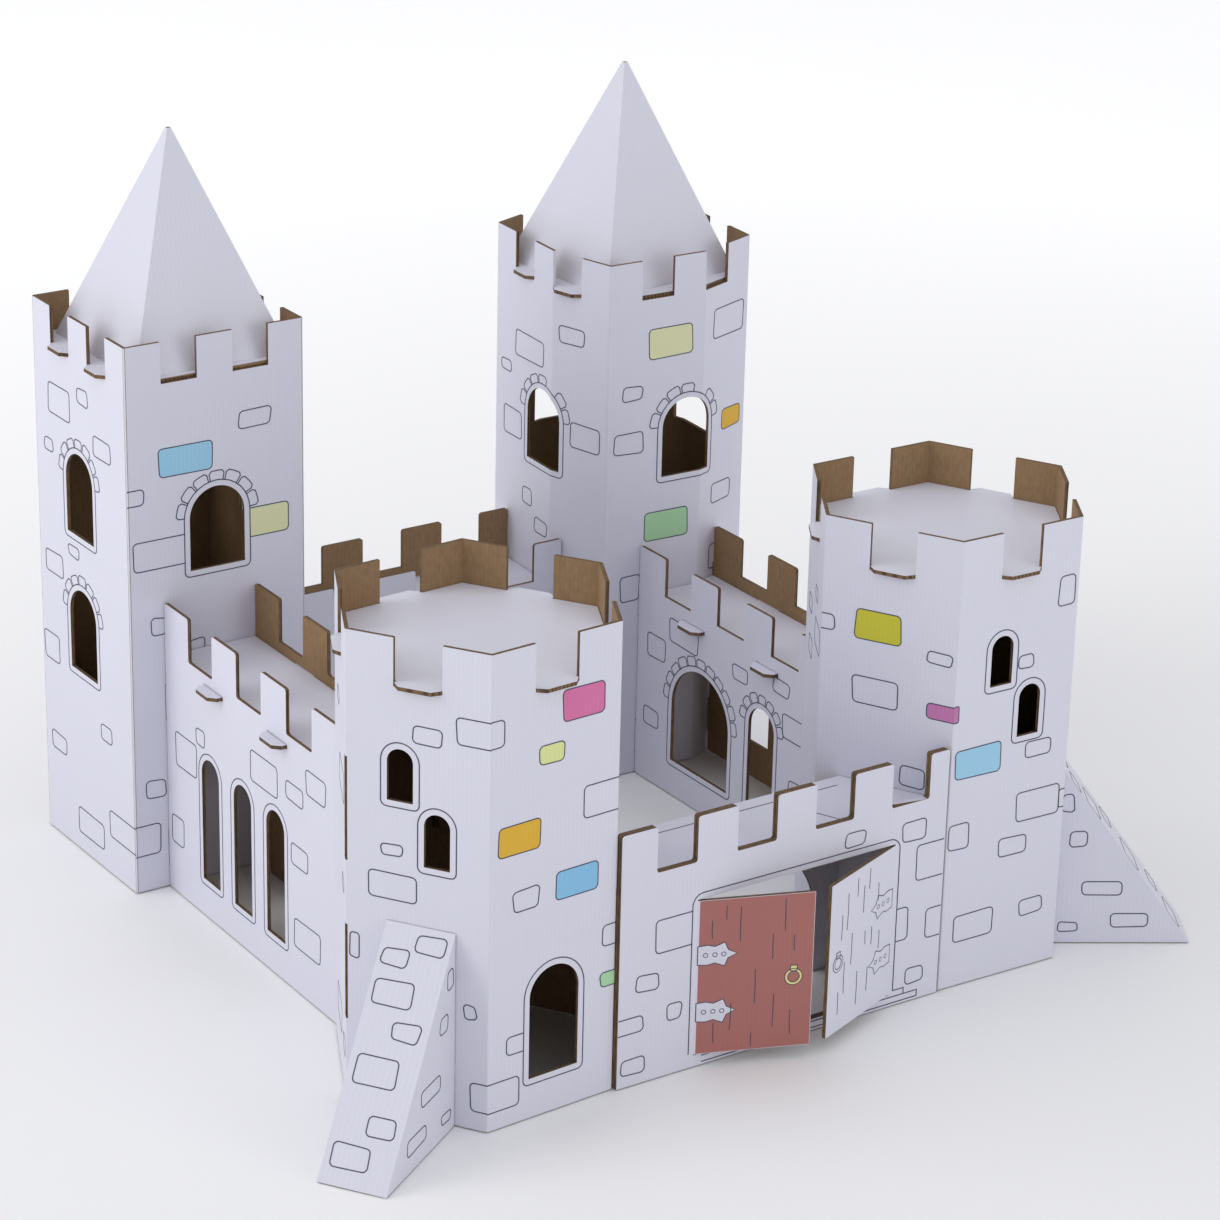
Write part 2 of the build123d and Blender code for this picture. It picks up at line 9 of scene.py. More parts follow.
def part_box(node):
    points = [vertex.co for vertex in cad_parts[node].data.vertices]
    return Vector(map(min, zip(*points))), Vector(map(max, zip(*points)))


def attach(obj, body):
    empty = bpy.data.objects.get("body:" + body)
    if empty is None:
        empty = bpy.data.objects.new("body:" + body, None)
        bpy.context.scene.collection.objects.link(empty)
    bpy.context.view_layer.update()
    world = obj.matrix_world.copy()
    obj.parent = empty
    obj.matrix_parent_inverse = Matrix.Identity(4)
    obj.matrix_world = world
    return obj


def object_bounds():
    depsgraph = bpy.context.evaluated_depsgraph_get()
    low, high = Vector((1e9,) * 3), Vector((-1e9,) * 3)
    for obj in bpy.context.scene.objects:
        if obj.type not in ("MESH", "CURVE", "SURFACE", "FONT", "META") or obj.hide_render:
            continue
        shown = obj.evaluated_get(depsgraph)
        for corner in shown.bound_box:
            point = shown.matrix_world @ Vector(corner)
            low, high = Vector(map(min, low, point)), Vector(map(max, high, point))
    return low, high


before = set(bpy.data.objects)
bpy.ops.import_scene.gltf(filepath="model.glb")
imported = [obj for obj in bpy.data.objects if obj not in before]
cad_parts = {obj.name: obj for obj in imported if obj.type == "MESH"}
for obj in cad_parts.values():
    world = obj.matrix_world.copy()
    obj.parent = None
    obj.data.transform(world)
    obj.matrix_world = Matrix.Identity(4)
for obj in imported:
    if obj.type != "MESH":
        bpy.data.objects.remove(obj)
cad_low, cad_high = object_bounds()

# The castle and the camera's place are in millimetres, the floor and the lamps in metres.
MM = 0.001
UP = Vector((0, 0, 1))

# ---- the card ----
BOARD = 1.6
FLUTE_PITCH = 1.9
SLIP = 0.3
SQUARE_SIDE = 84.0
SQUARE_CENTRE = Vector((116.0, 292.4, 0))
SQUARE_TOP = 246.0
CREASE_SHARE = 0.6
CREASE = CREASE_SHARE * SQUARE_SIDE
BOW_HEADINGS = (-2.0, 20.0, 87.0, 105.0)
HEX_SIDE = 60.0
HEX_TOP = 198.0
HEX_CENTRE = Vector((113.0, HEX_SIDE * math.sin(math.radians(60)) - BOARD, 0))
LEFT_HEX_TURN = 3.5
RIGHT_HEX_TURN = -1.5
GATE_CENTRE = 6.0
GATE_WIDTH = 97.0
GATE_BOTTOM = 5.0
GATE_TOP = 73.5
DOOR_ANGLE = 21.0
DOOR_GAP = 0.5
BUTTRESS_WIDTH = 28.8
BUTTRESS_HEIGHT = 82.0
BUTTRESS_DEPTH = 60.0
BUTTRESS_OFFSET = 17.5

# ---- openings: centre along the face, width, foot, top ----
SILL = 17.0
UPPER_WINDOW = (42.0, 26.0, 143.0, 179.0)
CREASED_WINDOW = (42.4, 26.0, 143.0, 179.0)
SIDE_WINDOWS = ((40.0, 24.5, 149.0, 186.5), (40.0, 24.5, 86.0, 124.5))
SLITS = ((22.8, 10.8, 132.0, 153.5), (38.2, 10.8, 107.0, 129.5))
PORCH_WINDOW = (31.0, 23.3, SILL, 63.0)
LANCET_CENTRES = (39.5, 68.0, 96.5)
LANCET_WIDTH = 15.4
LANCET_TOP = 74.0
# Each arch of an inner wall: its centre, its width and the stones over its head.
ARCHES = ((50.0, 44.0, 11), (96.5, 19.0, 7))
ARCH_TOP = 67.0

# ---- the print ----
INK_WIDTH = 0.46
DOOR_STROKE = 0.36
RING_STROKE = 0.35
PLATE_STROKE = 0.38
RIVET_STROKE = 0.32
FILL_LIFT = 0.05
INK_LIFT = 0.09
SUNK = 0.03
STONE_RADIUS = 1.9
STONE_WOBBLE = 0.35
WINDOW_MARGIN = 2.6
WINDOW_FOOT_RADIUS = 2.4
WINDOW_STONES = 7
VOUSSOIR_DEPTH = (3.8, 4.6)
VOUSSOIR_RADIUS = 1.1
VOUSSOIR_GAP = 0.9
# The first stone over a head starts at this angle, and the row takes up this much of a turn.
VOUSSOIR_START = 2
VOUSSOIR_TURN = 176
rng = random.Random(11)


# ================= materials =================
class Shader:
    """A node material being built, with short calls for the nodes it needs."""

    def __init__(self, name, roughness):
        self.material = bpy.data.materials.new(name)
        self.material.use_nodes = True
        self.tree = self.material.node_tree
        self.bsdf = self.tree.nodes["Principled BSDF"]
        self.bsdf.inputs["Roughness"].default_value = roughness
        self.position = self.node("ShaderNodeTexCoord").outputs["Object"]

    def node(self, kind, **settings):
        made = self.tree.nodes.new(kind)
        for key, value in settings.items():
            setattr(made, key, value)
        return made

    def link(self, source, target):
        self.tree.links.new(source, target)

    def feed(self, made, values):
        """Give a node's first inputs a constant each, or another node's output."""
        for socket, value in zip(made.inputs, values):
            if isinstance(value, (int, float, tuple)):
                socket.default_value = value
            else:
                self.link(value, socket)

    def math(self, operation, *values):
        made = self.node("ShaderNodeMath", operation=operation)
        self.feed(made, values)
        return made.outputs[0]

    def vector(self, operation, *values):
        made = self.node("ShaderNodeVectorMath", operation=operation)
        self.feed(made, values)
        return made.outputs

    def xyz(self):
        split = self.node("ShaderNodeSeparateXYZ")
        self.link(self.position, split.inputs[0])
        return split.outputs

    def wave(self, run):
        """A sine that repeats with every flute along a run in metres."""
        return self.math("SINE", self.math("MULTIPLY", run, 2 * math.pi / (FLUTE_PITCH * MM)))

    def flutes(self):
        """A wave from 0 to 1 across the flutes under the liner.

        An upright sheet's flutes stand, so the wave runs round it; on a level sheet it runs along X.
        """
        normal = self.node("ShaderNodeNewGeometry").outputs["True Normal"]
        level = self.vector("CROSS_PRODUCT", normal, (0, 0, 1))["Vector"]
        upright = self.math("GREATER_THAN", self.vector("LENGTH", level)["Value"], 0.3)
        around = self.vector("DOT_PRODUCT", self.position, level)["Value"]
        along_x = self.math("MULTIPLY", self.xyz()["X"], self.math("SUBTRACT", 1.0, upright))
        run = self.math("ADD", self.math("MULTIPLY", around, upright), along_x)
        return self.math("ADD", self.math("MULTIPLY", self.wave(run), 0.5), 0.5)

    def noise(self, scale, detail, stretch=(1, 1, 1)):
        mapping = self.node("ShaderNodeMapping")
        mapping.inputs["Scale"].default_value = stretch
        self.link(self.position, mapping.inputs["Vector"])
        made = self.node("ShaderNodeTexNoise")
        made.inputs["Scale"].default_value = scale
        made.inputs["Detail"].default_value = detail
        self.link(mapping.outputs[0], made.inputs["Vector"])
        return made.outputs["Fac"]

    def mix(self, factor, first, second):
        """From one colour to another; a tuple is a linear colour."""
        made = self.node("ShaderNodeMix", data_type="RGBA")
        self.link(factor, made.inputs[0])
        colours = [socket for socket in made.inputs if socket.type == "RGBA"]
        for socket, value in zip(colours, (first, second)):
            if isinstance(value, tuple):
                socket.default_value = (*value, 1)
            else:
                self.link(value, socket)
        return next(socket for socket in made.outputs if socket.type == "RGBA")

    def tint(self, base, mask, strength, colour):
        """The base with a colour laid over it where a mask is high."""
        return self.mix(self.math("MULTIPLY", mask, strength), base, colour)

    def ramp(self, value, low, high):
        made = self.node("ShaderNodeMapRange")
        self.link(value, made.inputs["Value"])
        made.inputs["From Min"].default_value = low
        made.inputs["From Max"].default_value = high
        return made.outputs[0]

    def bump(self, height, strength, distance):
        made = self.node("ShaderNodeBump")
        made.inputs["Strength"].default_value = strength
        made.inputs["Distance"].default_value = distance * MM
        self.link(height, made.inputs["Height"])
        self.link(made.outputs[0], self.bsdf.inputs["Normal"])

    def finish(self, colour):
        self.link(colour, self.bsdf.inputs["Base Color"])
        return self.material


def linear(*channels):
    """An sRGB colour out of 255, with no channel near black, as linear light."""
    return tuple(((channel / 255 + 0.055) / 1.055) ** 2.4 for channel in channels)


def shade_of(colour, share):
    return tuple(channel * share for channel in colour)


def printed_surface(name, colour, roughness, flute_shade, mottle):
    """Ink or coating on a white liner: a slight mottle, the flutes as a bump, and painted shade over
    the hollows between the flutes.
    """
    shader = Shader(name, roughness)
    flutes = shader.flutes()
    cloud = shader.ramp(shader.noise(26, 4), 0.3, 0.7)
    grain = shader.noise(900, 2)
    base = shader.mix(cloud, colour, shade_of(colour, 1 - mottle))
    # Painted shade: the colour darkens between the flutes, standing in for the shade on their ridges.
    base = shader.mix(flutes, base, shade_of(colour, 1 - flute_shade))
    shader.bump(shader.math("ADD", flutes, shader.math("MULTIPLY", grain, 0.35)), 0.12, 0.06)
    return shader.finish(base)


def bare_liner(name):
    return printed_surface(name, linear(219, 219, 232), 0.46, 0.035, 0.03)


def coloured_print(name, *channels):
    return printed_surface(name, linear(*channels), 0.48, 0.05, 0.05)


def kraft_surface():
    """The brown inner liner: fibres, specks, and a washboard of flutes as a bump with painted shade
    between them.
    """
    shader = Shader("kraft_liner", 0.85)
    fibres = shader.noise(620, 5, stretch=(1, 1, 0.5))
    base = shader.mix(shader.ramp(fibres, 0.3, 0.7), linear(160, 130, 95), linear(144, 115, 82))
    cloud = shader.ramp(shader.noise(22, 3), 0.35, 0.7)
    base = shader.tint(base, cloud, 0.3, linear(134, 107, 76))
    specks = shader.ramp(shader.noise(2400, 1), 0.66, 0.74)
    base = shader.tint(base, specks, 0.35, linear(96, 74, 52))
    flutes = shader.flutes()
    # Painted shade: darker between the flutes, standing in for the shade of the washboard.
    base = shader.tint(base, flutes, 0.1, linear(110, 86, 60))
    shader.bump(shader.math("ADD", flutes, shader.math("MULTIPLY", fibres, 0.5)), 0.25, 0.08)
    return shader.finish(base)


def cut_edge():
    """A cut through the board: brown paper waves, with painted shade for the dark hollows between
    them.
    """
    shader = Shader("cut_edge", 0.9)
    place = shader.xyz()
    hollow_shade = shader.ramp(shader.wave(shader.math("ADD", place["X"], place["Y"])), 0.1, 0.95)
    fibres = shader.noise(700, 4, stretch=(1, 1, 0.4))
    base = shader.mix(shader.ramp(fibres, 0.3, 0.7), linear(134, 107, 76), linear(100, 78, 54))
    # Painted shade: the open hollows between the waves are coloured near black.
    base = shader.tint(base, hollow_shade, 0.7, linear(46, 35, 26))
    shader.bump(shader.math("SUBTRACT", fibres, hollow_shade), 0.5, 0.3)
    return shader.finish(base)


def floor_surface():
    """A white sweep with painted light: it glows more the further it is from the castle, as a lit
    backdrop does, so it stays darker near the castle.
    """
    shader = Shader("studio_floor", 0.7)
    cloud = shader.ramp(shader.noise(3, 2), 0.3, 0.7)
    base = shader.mix(cloud, (0.95, 0.95, 0.955), (0.94, 0.94, 0.95))
    shader.bsdf.inputs["Emission Color"].default_value = (1, 1, 1, 1)
    # Painted light: the floor emits light, more with distance from the castle.
    away = shader.vector("LENGTH", shader.position)["Value"]
    painted_glow = shader.math("MULTIPLY", shader.ramp(away, 0.35, 1.3), 0.3)
    shader.link(painted_glow, shader.bsdf.inputs["Emission Strength"])
    return shader.finish(base)


card = (bare_liner("white_liner"), kraft_surface(), cut_edge())
LINER, KRAFT, EDGE = range(3)
inks = {
    "ink": printed_surface("ink_line", linear(70, 70, 92), 0.5, 0.1, 0.2),
    "blue": coloured_print("print_sky", 158, 208, 236),
    "deep_blue": coloured_print("print_blue", 134, 193, 232),
    "lime": coloured_print("print_lime", 224, 226, 180),
    "lemon": coloured_print("print_lemon", 222, 227, 156),
    "mauve": coloured_print("print_mauve", 196, 122, 176),
    "yellow": coloured_print("print_yellow", 202, 196, 52),
    "orange": coloured_print("print_orange", 224, 177, 42),
    "green": coloured_print("print_green", 172, 218, 172),
    "pink": coloured_print("print_pink", 214, 112, 164),
    "brick": printed_surface("print_brick", linear(172, 108, 102), 0.5, 0.06, 0.08),
    "brass": coloured_print("print_brass", 232, 222, 150),
    "paper": bare_liner("print_bare"),
}


# ================= the sheets' sides =================
# A ray from just inside a face finds how thick the card behind it is.
RAY_DEPTH = 0.02
THINNEST, THICKEST = 1.3, 4.0
ROOF_FOOT = 5
# A little past the back of the gate's doubled wall.
WALL_BACK = 1.05 * BOARD


def away_from_middle(node):
    """Printed where a face looks away from the upright line through its node's middle."""
    low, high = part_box(node)
    centre = (low + high) / 2

    def printed(point, normal):
        reach = point - centre
        return Vector((reach.x, reach.y, 0)).dot(normal) > 0

    return printed


def towards(*direction):
    """Printed where a face looks one way."""
    facing = Vector(direction)
    return lambda point, normal: normal.dot(facing) > 0


def gate_deck_print(point, normal):
    """The deck's top, and what looks forwards."""
    return normal.z > 0.5 or normal.y < -0.5


def gate_wall_print(point, normal):
    """All that looks forwards, and the doubled wall's back; doors and flaps are brown behind."""
    return normal.y < 0 or abs(point.y) < WALL_BACK * MM


def printed_all_over(point, normal):
    return True


def give_sides(node, printed, folded=False):
    """White liner, kraft liner or cut edge, by how thick the card is behind each face.

    Card reads as too thick along a folded roof's ridges, so there only the foot has cut edges.
    """
    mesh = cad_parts[node].data
    mesh.materials.clear()
    for material in card:
        mesh.materials.append(material)
    corners = [vertex.co[:] for vertex in mesh.vertices]
    tree = BVHTree.FromPolygons(corners, [polygon.vertices[:] for polygon in mesh.polygons])
    roof_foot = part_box(node)[0].z + ROOF_FOOT * MM
    for polygon in mesh.polygons:
        point, normal = polygon.center, polygon.normal
        _, _, _, through = tree.ray_cast(point - normal * RAY_DEPTH * MM, -normal)
        is_card = through is not None and THINNEST * MM < through + RAY_DEPTH * MM < THICKEST * MM
        if is_card or (folded and point.z > roof_foot):
            polygon.material_index = LINER if printed(point, normal) else KRAFT
        else:
            polygon.material_index = EDGE
        polygon.use_smooth = False


for name in ("tower_back_left", "tower_back_right", "tower_front_left", "tower_front_right"):
    give_sides(name, away_from_middle(name))
for name in ("roof_back_left", "roof_back_right"):
    give_sides(name, away_from_middle(name), folded=True)
for name in ("deck_front_left", "deck_front_right", "roof_base_back_left", "roof_base_back_right"):
    give_sides(name, towards(0, 0, 1))
for name in ("walkway_left", "walkway_right", "walkway_back"):
    give_sides(name, towards(0, 0, 1))
for name, side in {
    "wall_left_outer": (-1, 0, 0),
    "wall_left_inner": (1, 0, 0),
    "wall_right_outer": (1, 0, 0),
    "wall_right_inner": (-1, 0, 0),
    "wall_back_outer": (0, 1, 0),
    "wall_back_inner": (0, -1, 0),
}.items():
    give_sides(name, towards(*side))
give_sides("walkway_gate", gate_deck_print)
give_sides("wall_gate", gate_wall_print)
for name in ("buttress_left", "buttress_right"):
    give_sides(name, printed_all_over)


# ================= the print =================
class Sheet:
    """A printed face: u runs along it, v up it, and print stands a hair proud of it."""

    def __init__(self, node, origin, run, up=UP):
        self.node, self.origin, self.run, self.up = node, origin, run.normalized(), up.normalized()
        self.out = self.run.cross(self.up).normalized()

    def at(self, u, v, out):
        return (self.origin + self.run * u + self.up * v + self.out * out) * MM


# The corners and faces printed in one ink on one node.
prints = {}


def add_plate(sheet, ink, outline, lift):
    """A thin closed solid inside an outline."""
    verts, faces = prints.setdefault((sheet.node, ink), ([], []))
    base, count = len(verts), len(outline)
    for height in (lift, -SUNK):
        verts.extend(sheet.at(u, v, height) for u, v in outline)
    top = [base + i for i in range(count)]
    bottom = [index + count for index in top]
    faces.append(top)
    faces.append(bottom[::-1])
    for i in range(count):
        j = (i + 1) % count
        faces.append([top[j], top[i], bottom[i], bottom[j]])


def add_band(sheet, ink, rails, closed, lift):
    """A thin closed solid between two rails of points."""
    verts, faces = prints.setdefault((sheet.node, ink), ([], []))
    base, count = len(verts), len(rails[0])
    for height in (lift, -SUNK):
        for rail in rails:
            verts.extend(sheet.at(u, v, height) for u, v in rail)
    edges = [[base + part * count + i for i in range(count)] for part in range(4)]
    top_a, top_b, low_a, low_b = edges
    for i in range(count if closed else count - 1):
        j = (i + 1) % count
        faces.append([top_a[i], top_a[j], top_b[j], top_b[i]])
        faces.append([low_a[j], low_a[i], low_b[i], low_b[j]])
        faces.append([top_a[j], top_a[i], low_a[i], low_a[j]])
        faces.append([top_b[i], top_b[j], low_b[j], low_b[i]])
    if not closed:
        for i in (0, count - 1):
            faces.append([top_a[i], top_b[i], low_b[i], low_a[i]])


def offset_rail(points, distance, closed):
    """The points moved sideways, mitred at each one."""
    moved = []
    count = len(points)
    for i, (u, v) in enumerate(points):
        before = points[i - 1] if closed or i else points[i]
        after = points[(i + 1) % count] if closed or i < count - 1 else points[i]
        sides = []
        for start, end in ((before, (u, v)), ((u, v), after)):
            step = Vector((end[0] - start[0], end[1] - start[1]))
            if step.length > 1e-6:
                step.normalize()
                sides.append(Vector((step.y, -step.x)))
        across = sum(sides, Vector((0, 0))) / len(sides)
        reach = distance / max(across.length_squared, 0.4)
        moved.append((u + across.x * reach, v + across.y * reach))
    return moved


def line(sheet, points, width=INK_WIDTH, closed=False, lift=INK_LIFT):
    rails = [offset_rail(points, width / 2, closed), offset_rail(points, -width / 2, closed)]
    add_band(sheet, "ink", rails, closed, lift)


def polar(centre_u, centre_v, radius, angle):
    """A point round a centre, its angle in degrees anticlockwise from the right."""
    turn = math.radians(angle)
    return centre_u + radius * math.cos(turn), centre_v + radius * math.sin(turn)


def arc(centre_u, centre_v, radius, first, last, steps):
    angles = [first + (last - first) * i / steps for i in range(steps + 1)]
    return [polar(centre_u, centre_v, radius, angle) for angle in angles]


def rounded(u0, u1, v0, v1):
    """The corners of a hand-drawn stone, anticlockwise from the right end of its foot."""
    radius = min(STONE_RADIUS, (u1 - u0) / 3, (v1 - v0) / 3)
    corners = []
    for cu, cv, first in (
        (u1 - radius, v0 + radius, -90),
        (u1 - radius, v1 - radius, 0),
        (u0 + radius, v1 - radius, 90),
        (u0 + radius, v0 + radius, 180),
    ):
        du, dv = (rng.uniform(-STONE_WOBBLE, STONE_WOBBLE) for _ in range(2))
        corners.append(arc(cu + du, cv + dv, radius, first, first + 90, 4))
    return corners


def stone(sheet, u0, u1, v0, v1, fill=None, open_side=None):
    """A stone of the print, its left or right side left open where it runs on past something."""
    foot_right, top_right, top_left, foot_left = rounded(u0, u1, v0, v1)
    if open_side == "right":
        path = [(u1, top_left[0][1])] + top_left + foot_left + [(u1, foot_left[-1][1])]
    elif open_side == "left":
        path = [(u0, foot_right[0][1])] + foot_right + top_right + [(u0, top_right[-1][1])]
    else:
        path = foot_right + top_right + top_left + foot_left
    if fill:
        add_plate(sheet, fill, path, FILL_LIFT)
    line(sheet, path, closed=open_side is None)


def stones(sheet, *rows):
    """A stone for each row: left, right, foot, top, and its fill and open side if it has them."""
    for row in rows:
        stone(sheet, *row)


def centred_stone(sheet, u, v, wide, tall):
    stone(sheet, u - wide / 2, u + wide / 2, v - tall / 2, v + tall / 2)


def arch_path(centre, width, foot, top):
    """The line round an opening, from its right foot over the head to its left foot."""
    radius = width / 2 + WINDOW_MARGIN
    spring, low = top - width / 2, foot - WINDOW_MARGIN
    bend = min(WINDOW_FOOT_RADIUS, width / 4)
    path = arc(centre + radius - bend, low + bend, bend, -90, 0, 4)
    path += arc(centre, spring, radius, 0, 180, 16)
    return path + arc(centre - radius + bend, low + bend, bend, 180, 270, 4)


def voussoir_angles(radius, count):
    """Where each stone over a head starts and ends."""
    gap = math.degrees(VOUSSOIR_GAP / radius)
    for index in range(count):
        first = VOUSSOIR_START + index * VOUSSOIR_TURN / count + gap / 2
        yield first, first + VOUSSOIR_TURN / count - gap


def voussoir(sheet, centre, spring, inner, first, last):
    """One rounded stone on the head of a window, between two angles."""
    outer = inner + rng.uniform(*VOUSSOIR_DEPTH)
    shoulder = outer - VOUSSOIR_RADIUS
    bend = math.degrees(VOUSSOIR_RADIUS / outer)
    path = [polar(centre, spring, inner, first), polar(centre, spring, shoulder, first)]
    path += arc(centre, spring, outer, first + bend, last - bend, 3)
    path += [polar(centre, spring, shoulder, last), polar(centre, spring, inner, last)]
    line(sheet, path)


def window(sheet, centre, width, foot, top, count=0):
    """An outline round an opening, and a row of small stones over its head."""
    line(sheet, arch_path(centre, width, foot, top), closed=True)
    inner = width / 2 + WINDOW_MARGIN
    for first, last in voussoir_angles(inner, count):
        voussoir(sheet, centre, top - width / 2, inner, first, last)


STONE_SIZES = ((9, 5.5), (13, 8), (20, 11), (24, 12), (11, 7))
STONE_GAP = 3
HEAD_GAP = 4
FILLED_WIDTH = 12
TRIES_PER_STONE = 40


def apart(box, other):
    return (
        box[0] >= other[1] + STONE_GAP
        or other[0] >= box[1] + STONE_GAP
        or box[2] >= other[3] + STONE_GAP
        or other[2] >= box[3] + STONE_GAP
    )


def scatter(sheet, length, height, clear, count, foot=6.0, fills=()):
    """Stones over a face that has no drawn layout, clear of its openings and each other."""
    taken = list(clear)
    fills = list(fills)
    for _ in range(count * TRIES_PER_STONE):
        if count <= 0:
            return
        width, tall = rng.choice(STONE_SIZES)
        u0 = rng.uniform(STONE_GAP, length - width - STONE_GAP)
        v0 = rng.uniform(foot, height - tall - HEAD_GAP)
        box = (u0, u0 + width, v0, v0 + tall)
        if all(apart(box, other) for other in taken):
            taken.append(box)
            stone(sheet, *box, fill=fills.pop() if fills and width > FILLED_WIDTH else None)
            count -= 1


# ---- the towers' faces, seen from outside, in order round each tower ----
def heading(angle):
    return Vector((math.cos(math.radians(angle)), math.sin(math.radians(angle)), 0))


def faces_of(node, corners):
    ends = corners[1:] + corners[:1]
    return [Sheet(node, start, end - start) for start, end in zip(corners, ends)]


def mirrored(centre):
    return Vector((-centre.x, centre.y, 0))


def square(centre):
    half = SQUARE_SIDE / 2
    signs = ((-1, -1), (1, -1), (1, 1), (-1, 1))
    return [centre + Vector((x * half, y * half, 0)) for x, y in signs]


def bowed_square(centre):
    """A square whose sides each bend outwards at a crease."""
    shares = (CREASE_SHARE, 1 - CREASE_SHARE) * 2
    steps = [heading(angle) * share * SQUARE_SIDE for angle, share in zip(BOW_HEADINGS, shares)]
    corners = [Vector((0, 0, 0))]
    for step in steps + [-step for step in steps[:-1]]:
        corners.append(corners[-1] + step)
    return [corner - (corners[0] + corners[4]) / 2 + centre for corner in corners]


def hexagon(centre, turn):
    return [centre + heading(180 + turn + 60 * index) * HEX_SIDE for index in range(6)]


left_square = faces_of("tower_back_left", square(mirrored(SQUARE_CENTRE)))
right_square = faces_of("tower_back_right", bowed_square(SQUARE_CENTRE))
left_hexagon = faces_of("tower_front_left", hexagon(mirrored(HEX_CENTRE), LEFT_HEX_TURN))
right_hexagon = faces_of("tower_front_right", hexagon(HEX_CENTRE, RIGHT_HEX_TURN))

# ---- left back tower ----
front, right, back, left = left_square
window(front, *UPPER_WINDOW, WINDOW_STONES)
stones(
    front,
    (15, 40, 187, 200, "blue"),
    (53, 68, 202, 210),
    (0, 8, 177, 184, None, "left"),
    (57.6, 76, 153, 166, "lime", "left"),
    (2.5, 26.4, 147, 160, None, "right"),
    (10, 17, 117, 125),
    (28, 35, 107, 112),
    (6, 15, 43, 51),
    (0, 12, 17, 31, None, "left"),
    (38, 60, 60, 72),
)
for opening in SIDE_WINDOWS:
    window(left, *opening, WINDOW_STONES)
stones(
    left,
    (13, 33, 198, 212),
    (40, 50, 210, 217),
    (54, 70, 191, 200),
    (8, 16, 180, 186),
    (6, 22, 124, 134),
    (28, 38, 138, 143),
    (2, 16, 82, 95),
    (54, 64, 62, 69),
    (60, 84, 18, 30, None, "right"),
    (30, 54, 8, 20),
    (6, 20, 40, 48),
)
for face in (right, back):
    window(face, *UPPER_WINDOW, WINDOW_STONES)
    clear = [(22, 62, 136, 190), (0, 84, 0, 115)]
    scatter(face, SQUARE_SIDE, SQUARE_TOP - 22, clear, 9, fills=("lime",))
scatter(back, SQUARE_SIDE, 112, [], 5)


# ---- right back tower: its windows lie across the creases ----
def creased_window(before, after):
    """The part of a window's print that lies on each half of a creased face."""
    centre, width, bottom, top = CREASED_WINDOW
    radius, spring = width / 2 + WINDOW_MARGIN, top - width / 2
    head = (CREASE, spring + math.sqrt(radius ** 2 - (CREASE - centre) ** 2))
    foot = (CREASE, bottom - WINDOW_MARGIN)
    outline = arch_path(*CREASED_WINDOW)
    right_part = [point for point in outline if point[0] > CREASE]
    left_part = [point for point in outline if point[0] <= CREASE]
    # The outline starts at its right foot, so the right part runs up and the left part down.
    line(before, [head] + left_part + [foot])
    line(after, [(u - CREASE, v) for u, v in [foot] + right_part + [head]])
    depths = (radius, radius + VOUSSOIR_DEPTH[1])
    for first, last in voussoir_angles(radius, WINDOW_STONES):
        reach = [polar(centre, spring, depth, angle)[0] for angle in (first, last) for depth in depths]
        if min(reach) > CREASE + 0.2:
            voussoir(after, centre - CREASE, spring, radius, first, last)
        elif max(reach) < CREASE - 0.2:
            voussoir(before, centre, spring, radius, first, last)


for index in (0, 2, 4, 6):
    creased_window(right_square[index], right_square[index + 1])
stones(
    right_square[0],
    (21, 44, 200, 214, "lime"),
    (8, 18, 182, 188.5),
    (4, 19, 157, 167),
    (21, 44, 113, 127, "green"),
    (9, 19, 86, 98),
)
stones(
    right_square[1],
    (7, 30, 203, 217),
    (16, 30, 158, 167.5, "orange"),
    (9, 24, 124, 133),
    (9, 19, 92, 104),
)
stones(right_square[7], (4, 19, 205, 213), (12, 29, 157, 169))
stones(
    right_square[6],
    (18, 43, 189, 201),
    (5, 14, 179, 184),
    (8, 24, 149, 162),
    (26, 34, 120, 128),
    (37, 48, 109, 116),
)
stones(right_square[7], (8, 24, 20, 30))
for index, length, count, fills in (
    (2, CREASE, 5, ()),
    (3, SQUARE_SIDE - CREASE, 3, ("deep_blue",)),
    (4, CREASE, 5, ()),
    (5, SQUARE_SIDE - CREASE, 3, ()),
):
    clear = [(18, 60, 132, 192), (0, 12, 132, 192)]
    scatter(right_square[index], length, SQUARE_TOP - 24, clear, count, fills=fills)

# ---- left front tower ----
HEX_HEAD = HEX_TOP - 24
BEHIND_WALL = [(0, 60, 0, 118)]
BEHIND_BUTTRESS = [(10, 50, 0, 90)]
side, porch = left_hexagon[:2]
for slit in SLITS:
    window(side, *slit)
stones(
    side,
    (28, 40, 157, 164),
    (46, 60, 160, 171, None, "right"),
    (15, 24, 109, 114),
    (10, 30, 91, 102),
    (2, 6, 63, 74),
    (50, 55, 47, 53),
)
window(porch, *PORCH_WINDOW)
stones(
    porch,
    (0, 6, 160, 171, None, "left"),
    (33, 52, 163, 176, "pink"),
    (22, 34, 148, 156, "lemon"),
    (43.5, 60, 121, 134, None, "right"),
    (4, 23, 115, 127, "orange"),
    (31, 51, 90, 102, "deep_blue"),
    (11, 23, 90, 99),
    (54, 60, 64, 73, None, "right"),
    (53, 60, 46.5, 52.5, "green", "right"),
    (9, 16.8, 30, 38, None, "right"),
    (0, 14.5, 8, 20, None, "left"),
)
stones(side, (53, 60, 8, 20, None, "right"))
for index, clear, count in ((2, BEHIND_WALL, 4), (3, [], 6), (4, BEHIND_WALL, 4), (5, [], 5)):
    scatter(left_hexagon[index], HEX_SIDE, HEX_HEAD, clear, count)

